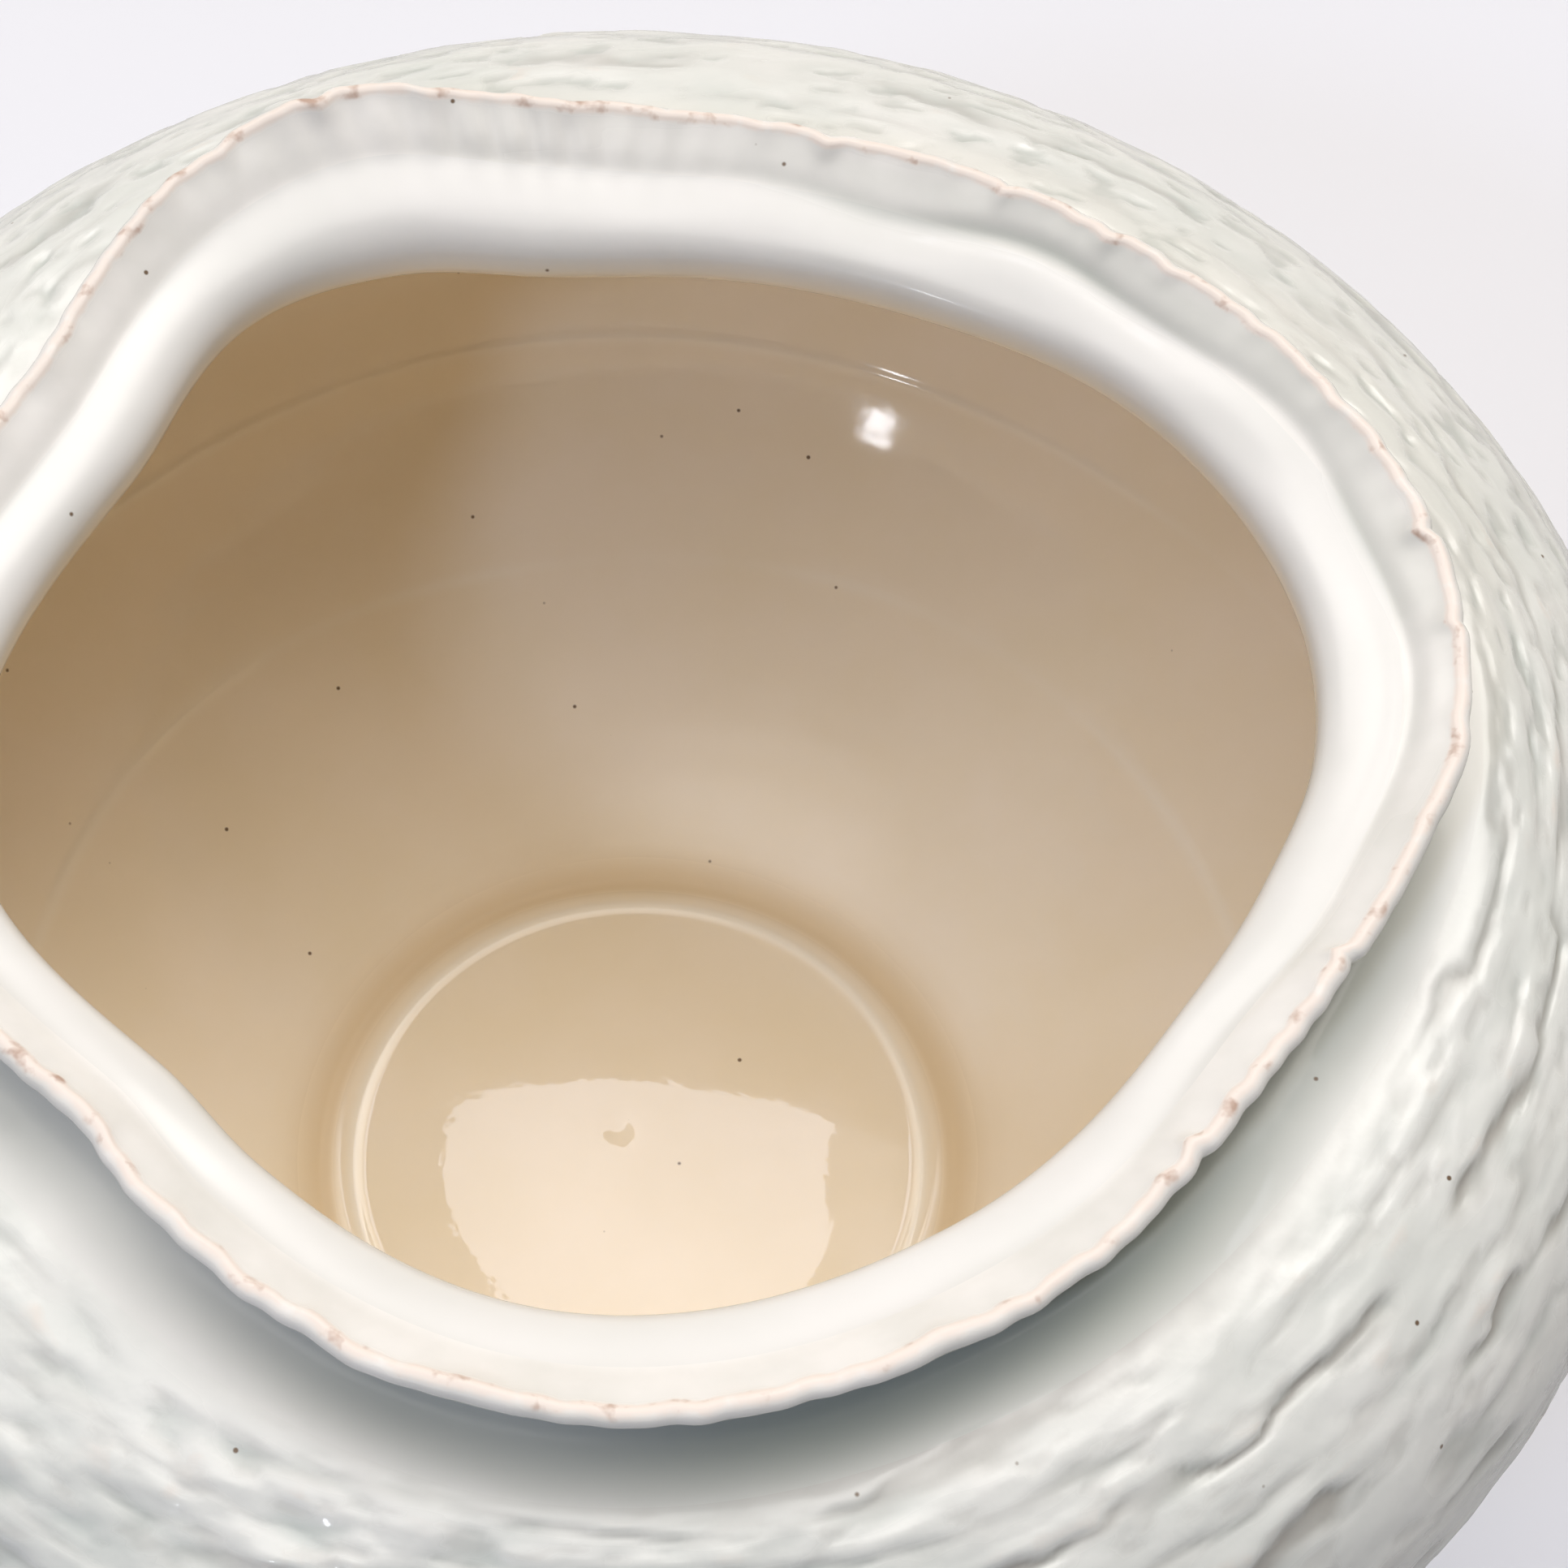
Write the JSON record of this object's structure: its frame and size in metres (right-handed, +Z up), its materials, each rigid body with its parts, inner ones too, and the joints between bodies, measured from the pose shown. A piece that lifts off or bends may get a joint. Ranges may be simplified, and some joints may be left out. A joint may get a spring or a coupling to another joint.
{
  "type": "pedestal vase",
  "caption": "Wide round stoneware vase with a pinched, torn and flared mouth, bark-like ridged white glaze and a hollow flared pedestal.",
  "frame": {"origin": "centre of the foot ring's flat underside", "axes": "+Z up along the axis the bowl and pedestal are turned on; -Y towards the side the picture is taken from; +X to that view's right"},
  "size_m": [0.28, 0.28, 0.2364],
  "materials": {
    "textured_glaze": "semi-gloss white glaze over bark-like ridges, greenish grey where it pools",
    "smooth_glaze": "smooth satin white glaze",
    "liner_glaze": "glossy cream glaze",
    "torn_rim": "thin white glaze breaking to pinkish clay at the torn edge"
  },
  "bodies": {
    "root": {"pedestal": "textured_glaze", "joint_coil": "textured_glaze", "floor_slab": "liner_glaze", "lower_wall": "textured_glaze", "belly_band": "textured_glaze", "shoulder_band": "textured_glaze", "neck_collar": "smooth_glaze", "rim_strip": "torn_rim"}
  },
  "joints": []
}
